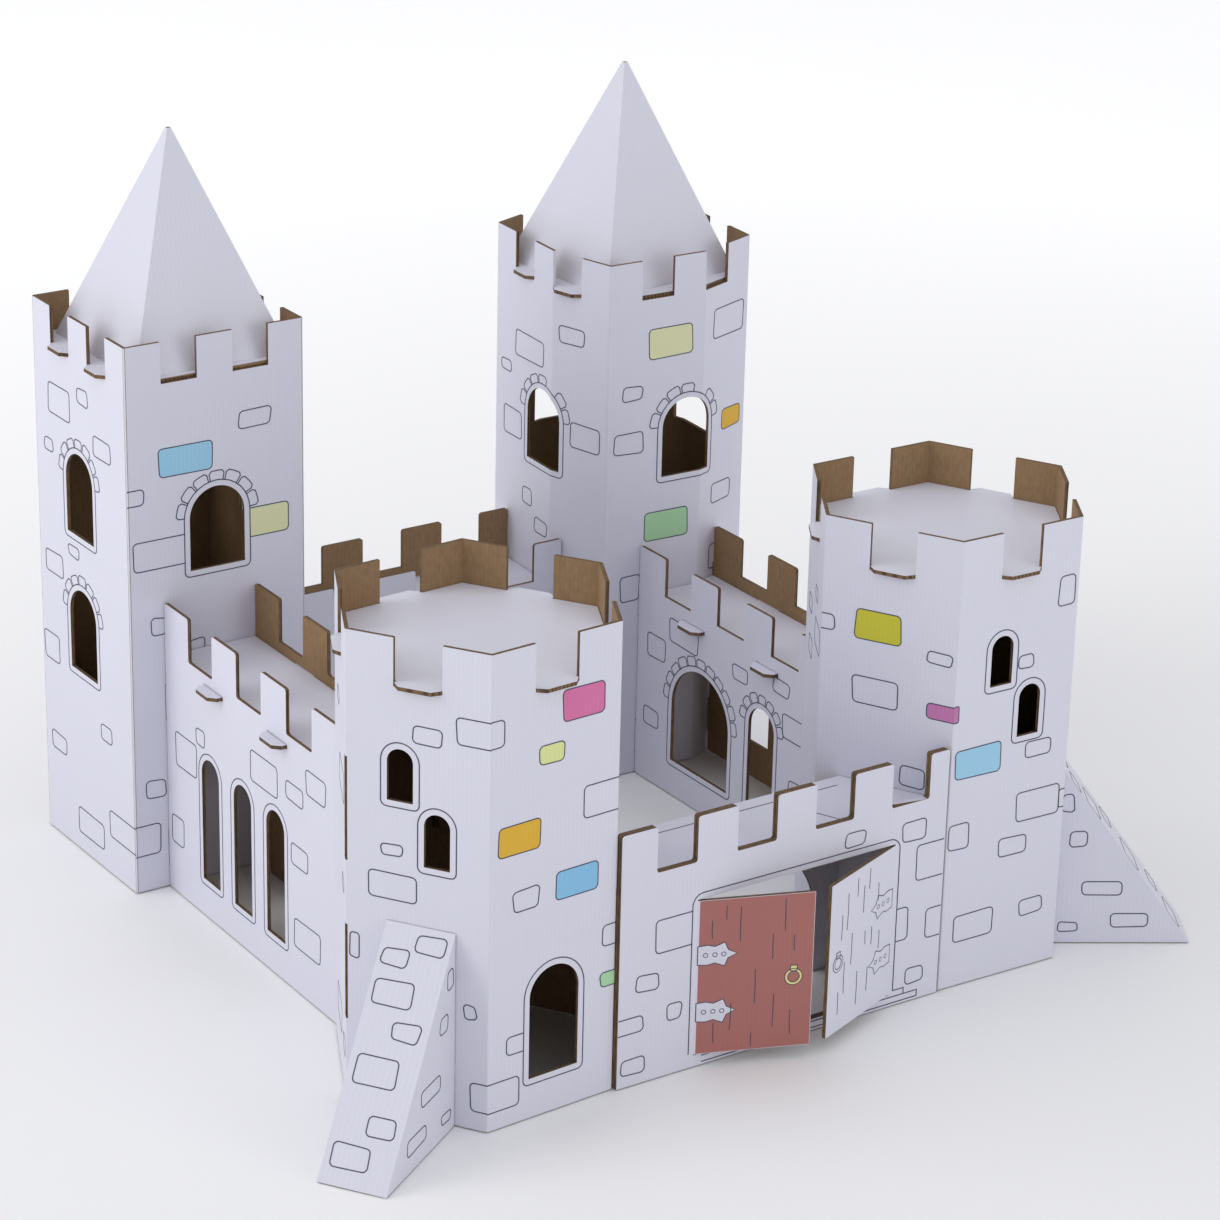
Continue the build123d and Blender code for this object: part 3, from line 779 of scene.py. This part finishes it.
# ---- right front tower ----
flank, face = right_hexagon[:2]
for slit in SLITS:
    window(face, *slit)
stones(
    flank,
    (0, 6, 149, 156, None, "left"),
    (15, 35, 148, 161, "yellow"),
    (47, 58, 144, 149),
    (15, 35, 120, 132),
    (48, 60, 120, 127, "mauve", "right"),
)
stones(face, (0, 2.2, 120, 127, "mauve", "left"))
stones(flank, (38, 49, 88, 97))
stones(
    face,
    (50, 58, 161, 174),
    (31.2, 39, 137, 143),
    (38, 51, 96.5, 103.4),
    (2, 25, 94, 107, "blue"),
    (35, 57, 68, 81),
    (57, 60, 70, 78, None, "right"),
    (1, 11, 63, 74),
    (27, 41, 54, 62),
    (6, 26, 20, 32),
    (40, 52, 24, 31),
)
for index, clear, count, fills in (
    (2, BEHIND_BUTTRESS, 5, ()),
    (3, [], 6, ("orange",)),
    (4, BEHIND_WALL, 4, ()),
    (5, BEHIND_WALL, 4, ()),
):
    scatter(right_hexagon[index], HEX_SIDE, HEX_HEAD, clear, count, fills=fills)


# ---- wings ----
def wing(node, start, end):
    """The printed face of a wing's wall, from its left end to its right in plan."""
    origin = Vector((*start, 0))
    return Sheet(node, origin, Vector((*end, 0)) - origin)


left_outer = wing("wall_left_outer", (-142.0, 250.1), (-144.49, 102.2))
for centre in LANCET_CENTRES:
    window(left_outer, centre, LANCET_WIDTH, SILL, LANCET_TOP)
stones(
    left_outer,
    (8, 27.5, 61, 76),
    (27, 35, 78, 85),
    (76, 99, 80, 94),
    (123, 139, 92, 103),
    (3, 14, 23, 36),
    (110, 124, 57, 66),
    (112, 134, 20, 33),
    (106, 120, 84, 92),
)

# Openings are measured from the back, and the next sheet runs from the front.
LEFT_INNER_LENGTH = 147.1
left_inner = wing("wall_left_inner", (-99.0, 103.0), (-97.0, 250.1))
for centre, width, count in ARCHES:
    window(left_inner, LEFT_INNER_LENGTH - centre, width, SILL, ARCH_TOP, count)
scatter(left_inner, LEFT_INNER_LENGTH, 108, [(24, 124, 0, 80)], 6, foot=70)
scatter(left_inner, 24, 70, [], 2)

right_inner = wing("wall_right_inner", (97.0, 245.2), (97.0, 103.1))
for centre, width, count in ARCHES:
    window(right_inner, centre, width, SILL, ARCH_TOP, count)
stones(
    right_inner,
    (8, 22, 62, 73),
    (25, 47, 74.5, 85.5),
    (74, 85, 74, 81),
    (104, 116, 79, 85.5),
    (112, 128, 60, 71),
    (118, 134, 30, 42),
    (6, 18, 28, 36),
)

# This sheet too runs from the front.
RIGHT_OUTER_LENGTH = 146.5
right_outer = wing("wall_right_outer", (142.0, 102.0), (142.0, 248.5))
for centre in LANCET_CENTRES:
    window(right_outer, RIGHT_OUTER_LENGTH - centre, LANCET_WIDTH, SILL, LANCET_TOP)
scatter(right_outer, RIGHT_OUTER_LENGTH, 84, [(38, 120, 8, 80)], 7, fills=("lime", "blue"))

BACK_LENGTH = 144
back_inner = wing("wall_back_inner", (-73.7, 270.4), (70.8, 270.4))
window(back_inner, 72.3, 44.0, SILL, ARCH_TOP, 11)
scatter(back_inner, BACK_LENGTH, 84, [(44, 102, 8, 78)], 8)
back_outer = wing("wall_back_outer", (71.0, 318.0), (-73.7, 318.0))
scatter(back_outer, BACK_LENGTH, 84, [], 12, fills=("pink", "deep_blue", "lime"))

# ---- gate wall ----
FRAME_MARGIN = 2.4
FRAME_FOOT = 9.4
# The frame's corners bend round points this far in from and down from the gate's corners.
BEND_IN, BEND_DOWN, BEND_RADIUS = 2.6, 2.4, 5
# Each doorstep: how far its end stands out from the gate, and its height.
LOWER_STEP, UPPER_STEP = (15, 1.2), (8, 4)
STEPS_TOP = 6.8
gate = Sheet("wall_gate", Vector((0, -BOARD, 0)), Vector((1, 0, 0)))
gate_left, gate_right = GATE_CENTRE - GATE_WIDTH / 2, GATE_CENTRE + GATE_WIDTH / 2
frame_line = [(gate_right + FRAME_MARGIN, FRAME_FOOT)]
frame_line += arc(gate_right - BEND_IN, GATE_TOP - BEND_DOWN, BEND_RADIUS, 0, 90, 6)
frame_line += arc(gate_left + BEND_IN, GATE_TOP - BEND_DOWN, BEND_RADIUS, 90, 180, 6)
frame_line += [(gate_left - FRAME_MARGIN, 6)]
line(gate, frame_line)
stones(
    gate,
    (29, 39, 78, 84),
    (58, 70, 73, 82),
    (66, 79.6, 54, 70, None, "right"),
    (72, 79.8, 27, 40, None, "right"),
    (56.9, 63, 29, 44, None, "left"),
    (63, 72, 8, 15),
    (-62, -44.9, 55, 69, None, "right"),
    (-71, -60, 40, 47),
    (-78.8, -67, 23, 30, None, "left"),
    (-77, -66, 5, 12),
    (-56, -49, 24, 31),
)
step_line = [
    (gate_right + LOWER_STEP[0], LOWER_STEP[1]),
    (gate_right + LOWER_STEP[0], UPPER_STEP[1]),
    (gate_right + UPPER_STEP[0], UPPER_STEP[1]),
    (gate_right + UPPER_STEP[0], STEPS_TOP),
    (gate_right + FRAME_MARGIN, STEPS_TOP),
    (gate_right + FRAME_MARGIN, FRAME_FOOT),
]
line(gate, step_line)
for reach, v in (UPPER_STEP, LOWER_STEP):
    line(gate, [(gate_right + reach, v), (gate_left + 4, v)])


# ---- doors ----
DOOR_LENGTH = GATE_WIDTH / 2 - DOOR_GAP
DOOR_FOOT = GATE_BOTTOM + DOOR_GAP
DOOR_TOP = GATE_TOP - DOOR_GAP
DOOR_MARGIN = 0.2
HINGE_MARGIN = 1.2
RING_RADIUS, RING_HOLE = 3.6, 2.4
HINGE_PLATE = (
    (0, -4), (4, -4.4), (7, -3.6), (11, -5.2), (12.4, -1.8), (16, 0),
    (12.4, 1.8), (11, 5.2), (7, 3.6), (4, 4.4), (0, 4),
)  # fmt: skip
RIVETS = (3.2, 7.0, 10.6)
RIVET_RADIUS = 0.9
# Each board stroke: how far along the door, then from and to how far down from its top.
LEFT_STROKES = (
    (6.4, 9, 17), (12.2, 3, 9), (17.9, 4, 19), (35.9, 2, 16), (31.3, 17, 28), (40, 18, 25),
    (24.5, 32, 47), (23.6, 60, 66.5), (32.4, 43.5, 58), (39.4, 51, 62), (15, 46, 58), (8, 54, 63),
)  # fmt: skip
RIGHT_STROKES = (
    (9, 16, 27), (13, 8, 24), (20, 4, 12), (25, 9, 21), (29, 3, 12), (12, 38, 52), (17, 27, 41),
    (22, 46, 61), (27, 30, 36), (32, 30, 38), (36, 12, 20), (30, 47, 58), (8, 50, 60), (38, 34, 42),
)  # fmt: skip


def door_sheet(start, run):
    """The front of a door, from a point in the middle of its board."""
    return Sheet("wall_gate", start + run.cross(UP) * (BOARD / 2), run)


def planks(sheet, strokes):
    """Short upright strokes that stand for boards."""
    for u, first, last in strokes:
        middle = (u + rng.uniform(-0.2, 0.2), DOOR_TOP - (first + last) / 2)
        end = (u + rng.uniform(-0.3, 0.3), DOOR_TOP - last)
        line(sheet, [(u, DOOR_TOP - first), middle, end], DOOR_STROKE)


def ring_pull(sheet, u, v, fill):
    """A ring that hangs from a small square plate."""
    around, hole = (arc(u, v, radius, 0, 345, 23) for radius in (RING_RADIUS, RING_HOLE))
    add_band(sheet, fill, [around, hole], True, FILL_LIFT + 0.04)
    line(sheet, around, RING_STROKE, True, INK_LIFT + 0.03)
    line(sheet, hole, RING_STROKE, True, INK_LIFT + 0.03)
    plate = [(u - 1.3, v + 2.6), (u + 1.3, v + 2.6), (u + 1.4, v + 5.0), (u - 1.4, v + 5.0)]
    add_plate(sheet, fill, plate, FILL_LIFT + 0.05)
    line(sheet, plate, RING_STROKE, True, INK_LIFT + 0.04)


def hinge_plate(sheet, u, v, way):
    """A strap hinge with a three-pointed end and three rivets, its root at u, towards way."""
    path = [(u + way * x, v + y) for x, y in HINGE_PLATE]
    add_plate(sheet, "paper", path, FILL_LIFT + 0.02)
    line(sheet, path, PLATE_STROKE, True)
    for x in RIVETS:
        line(sheet, arc(u + way * x, v, RIVET_RADIUS, 0, 330, 11), RIVET_STROKE, True)


left_hinge = Vector((gate_left, -BOARD / 2, 0))
left_door = door_sheet(left_hinge, heading(-DOOR_ANGLE))
skin_end = DOOR_LENGTH - DOOR_MARGIN
skin_foot, skin_top = DOOR_FOOT + DOOR_MARGIN, DOOR_TOP - DOOR_MARGIN
skin = [
    (HINGE_MARGIN, skin_foot),
    (skin_end, skin_foot),
    (skin_end, skin_top),
    (HINGE_MARGIN, skin_top),
]
add_plate(left_door, "brick", skin, FILL_LIFT * 0.8)
planks(left_door, LEFT_STROKES)
ring_pull(left_door, 40.2, 36.4, "brass")
for v in (49.0, 24.0):
    hinge_plate(left_door, 0.8, v, 1)

right_hinge = Vector((gate_right, -BOARD / 2, 0))
right_run = -heading(180 + DOOR_ANGLE)
right_door = door_sheet(right_hinge - right_run * DOOR_LENGTH, right_run)
planks(right_door, RIGHT_STROKES)
ring_pull(right_door, 7.0, 36.3, "paper")
for v in (50.0, 25.0):
    hinge_plate(right_door, DOOR_LENGTH - 1, v, -1)

# ---- gate deck: a few printed joints between its boards ----
BACK_JOINT, FRONT_JOINT = 35, 6
deck_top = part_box("walkway_gate")[1].z / MM
deck = Sheet("walkway_gate", Vector((0, 0, deck_top)), Vector((1, 0, 0)), Vector((0, 1, 0)))
line(deck, [(-52, BACK_JOINT), (52, BACK_JOINT)])
line(deck, [(-40, FRONT_JOINT), (-18, BACK_JOINT)])
line(deck, [(34, FRONT_JOINT), (20, BACK_JOINT)])


# ---- buttresses ----
# Each stone's middle and size: across and down the slope, then out from the tower and up.
SLOPE_STONES = (
    (20.3, 6.4, 12, 7), (7.4, 13.3, 11, 6.5), (10.4, 27, 16, 10), (19.5, 40.4, 11.5, 7),
    (11.7, 57, 17.5, 11), (19.5, 77, 11.5, 7.5), (10.4, 90, 15.5, 9.5),
)  # fmt: skip
SIDE_STONES = (
    (4.3, 65, 5, 8), (9.8, 48.4, 7, 7), (21.2, 25.6, 17, 6.5), (33.7, 10.6, 16, 6.5), (7.5, 7.3, 8, 4),
)  # fmt: skip


def buttress_print(node, face, start):
    """Stones on the slope and the two sides of a buttress, which stands some way along a face."""
    corner, run = face.origin, face.run
    out = run.cross(UP)
    foot = corner + run * start + out * (SLIP + BUTTRESS_DEPTH)
    rise = Vector((0, 0, BUTTRESS_HEIGHT)) - out * BUTTRESS_DEPTH
    slope = Sheet(node, foot, run, rise)
    for u, down, wide, tall in SLOPE_STONES:
        centred_stone(slope, u, rise.length - down, wide, tall)
    right_root = corner + run * (start + BUTTRESS_WIDTH) + out * SLIP
    right_side = Sheet(node, right_root + out * BUTTRESS_DEPTH, -out)
    left_side = Sheet(node, corner + run * start + out * SLIP, out)
    for reach, v, wide, tall in SIDE_STONES:
        centred_stone(right_side, BUTTRESS_DEPTH - reach, v, wide, tall)
        centred_stone(left_side, reach, v, wide, tall)


buttress_print("buttress_left", left_hexagon[0], BUTTRESS_OFFSET)
buttress_print("buttress_right", right_hexagon[2], HEX_SIDE - BUTTRESS_OFFSET - BUTTRESS_WIDTH)

for (node, ink), (verts, faces) in prints.items():
    mesh = bpy.data.meshes.new(f"{ink}_{node}")
    mesh.from_pydata([v[:] for v in verts], [], faces)
    mesh.validate()
    mesh.materials.append(inks[ink])
    piece = bpy.data.objects.new(f"print_{ink}_{node}", mesh)
    bpy.context.collection.objects.link(piece)
    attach(piece, "root")

# ================= floor, light and camera =================
FLOOR_REACH = 6.0
FLOOR_TOP = -0.0005
floor_signs = ((-1, -1), (1, -1), (1, 1), (-1, 1))
floor_corners = [(x * FLOOR_REACH, y * FLOOR_REACH, FLOOR_TOP) for x, y in floor_signs]
floor_mesh = bpy.data.meshes.new("studio_floor")
floor_mesh.from_pydata(floor_corners, [], [(0, 1, 2, 3)])
floor_mesh.materials.append(floor_surface())
floor = bpy.data.objects.new("studio_floor", floor_mesh)
bpy.context.collection.objects.link(floor)


def soft_box(name, place, target, size, power):
    """An area lamp that looks at a point."""
    data = bpy.data.lights.new(name, "AREA")
    data.shape = "RECTANGLE"
    data.size, data.size_y = size
    data.energy = power
    lamp = bpy.data.objects.new(name, data)
    lamp.location = place
    lamp.rotation_euler = (Vector(target) - Vector(place)).to_track_quat("-Z", "Y").to_euler()
    bpy.context.collection.objects.link(lamp)


middle = (cad_low + cad_high) / 2
soft_box("key_left", (-1.7, 0.75, 1.0), middle, (1.2, 1.2), 11)
soft_box("top_fill", (-0.2, 0.1, 2.2), middle, (1.8, 1.8), 5)
soft_box("front_fill", (0.8, -1.8, 0.7), middle, (1.2, 1.0), 5.5)

world = bpy.data.worlds.new("studio")
bpy.context.scene.world = world
world.use_nodes = True
background = world.node_tree.nodes["Background"]
background.inputs["Color"].default_value = (0.97, 0.975, 1.0, 1)
background.inputs["Strength"].default_value = 0.66
bpy.context.scene.view_settings.view_transform = "Standard"

# The camera stands in front of the gate and to its left, 0.75 m up, and looks down a little.
CAMERA_PLACE = Vector((-848.6, -1117.1, 749.8))
CAMERA_YAW, CAMERA_PITCH, CAMERA_ROLL = 0.5989, -0.38375, 0.02348
FOCAL_PIXELS, IMAGE_WIDTH = 3927.1, 1220
SENSOR_WIDTH = 36
camera_data = bpy.data.cameras.new("camera")
camera_data.sensor_width = SENSOR_WIDTH
camera_data.lens = FOCAL_PIXELS / IMAGE_WIDTH * SENSOR_WIDTH
camera = bpy.data.objects.new("camera", camera_data)
bpy.context.collection.objects.link(camera)
ahead = Vector(
    (
        math.sin(CAMERA_YAW) * math.cos(CAMERA_PITCH),
        math.cos(CAMERA_YAW) * math.cos(CAMERA_PITCH),
        math.sin(CAMERA_PITCH),
    )
)
level_right = Vector((math.cos(CAMERA_YAW), -math.sin(CAMERA_YAW), 0))
level_up = level_right.cross(ahead)
camera_right = level_right * math.cos(CAMERA_ROLL) + level_up * math.sin(CAMERA_ROLL)
camera_up = level_up * math.cos(CAMERA_ROLL) - level_right * math.sin(CAMERA_ROLL)
pose = Matrix((camera_right, camera_up, -ahead)).transposed().to_4x4()
pose.translation = CAMERA_PLACE * MM
camera.matrix_world = pose
bpy.context.scene.camera = camera
